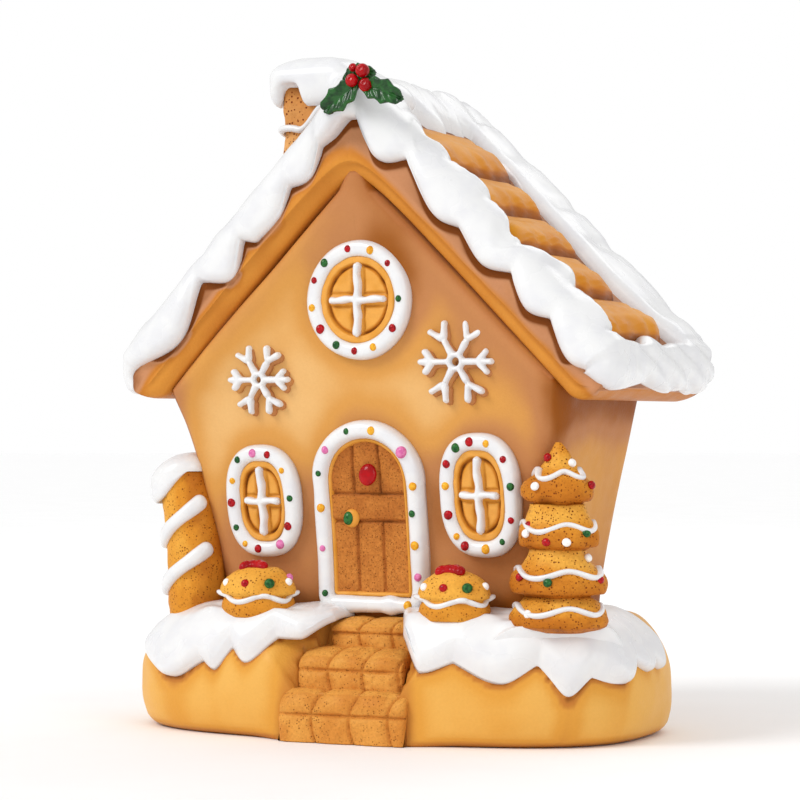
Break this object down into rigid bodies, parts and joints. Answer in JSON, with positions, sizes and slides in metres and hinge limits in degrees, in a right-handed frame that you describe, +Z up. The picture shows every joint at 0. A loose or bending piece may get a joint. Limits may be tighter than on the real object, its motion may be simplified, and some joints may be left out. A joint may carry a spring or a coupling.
{
  "type": "gingerbread house ornament",
  "caption": "Table-top gingerbread house ornament with a steep iced roof, arched door, oval windows, chimney, candy tree and cane on a rounded snow-edged base.",
  "frame": {"origin": "on the flat underside of the base mound, under the middle of the house, at the height of the table", "axes": "+Z up; -Y is the front, with the door; +X is to the right when the front is looked at"},
  "size_m": [0.2011, 0.124, 0.2426],
  "materials": {
    "base_biscuit": "satin, hand-painted golden ochre with brown airbrushing",
    "wall_biscuit": "satin, hand-painted cream ochre with brown airbrushing at the edges",
    "roof_biscuit": "satin, hand-painted orange brown",
    "roof_tile": "satin, hand-painted golden orange, crumbly",
    "pane_biscuit": "satin, hand-painted orange ochre",
    "baked_crumb": "satin, hand-painted speckled brown with pores",
    "icing": "glossy white",
    "holly_green": "glossy dark green",
    "berry_red": "glossy red",
    "candy_green": "glossy green"
  },
  "bodies": {
    "root": {"base_mound": "base_biscuit", "bush_left_body": "baked_crumb", "bush_left_jelly": "berry_red", "bush_left_piping": "icing", "bush_right_body": "baked_crumb", "bush_right_jelly": "berry_red", "bush_right_piping": "icing", "chimney": "baked_crumb", "chimney_cap": "icing", "column": "baked_crumb", "column_cap": "icing", "column_stripe_1": "icing", "column_stripe_2": "icing", "door_candy": "berry_red", "door_frame": "icing", "door_knob": "candy_green", "door_leaf": "baked_crumb", "holly_berry_1": "berry_red", "holly_berry_2": "berry_red", "holly_berry_3": "berry_red", "holly_leaf_back": "holly_green", "holly_leaf_left": "holly_green", "holly_leaf_right": "holly_green", "house_body": "wall_biscuit", "roof_course_left_1": "roof_tile", "roof_course_left_2": "roof_tile", "roof_course_left_3": "roof_tile", "roof_course_left_4": "roof_tile", "roof_course_left_5": "roof_tile", "roof_course_right_1": "roof_tile", "roof_course_right_2": "roof_tile", "roof_course_right_3": "roof_tile", "roof_course_right_4": "roof_tile", "roof_course_right_5": "roof_tile", "roof_icing": "icing", "roof_slab": "roof_biscuit", "snow_left": "icing", "snow_right": "icing", "snowflake_left": "icing", "snowflake_right": "icing", "step_1": "baked_crumb", "step_2": "baked_crumb", "step_3": "baked_crumb", "tree_piping_1": "icing", "tree_piping_2": "icing", "tree_piping_3": "icing", "tree_piping_4": "icing", "tree_tier_1": "baked_crumb", "tree_tier_2": "baked_crumb", "tree_tier_3": "baked_crumb", "tree_tier_4": "baked_crumb", "window_left_cross": "icing", "window_left_pane": "pane_biscuit", "window_left_ring": "icing", "window_right_cross": "icing", "window_right_pane": "pane_biscuit", "window_right_ring": "icing", "window_round_cross": "icing", "window_round_pane": "pane_biscuit", "window_round_ring": "icing"}
  },
  "joints": []
}
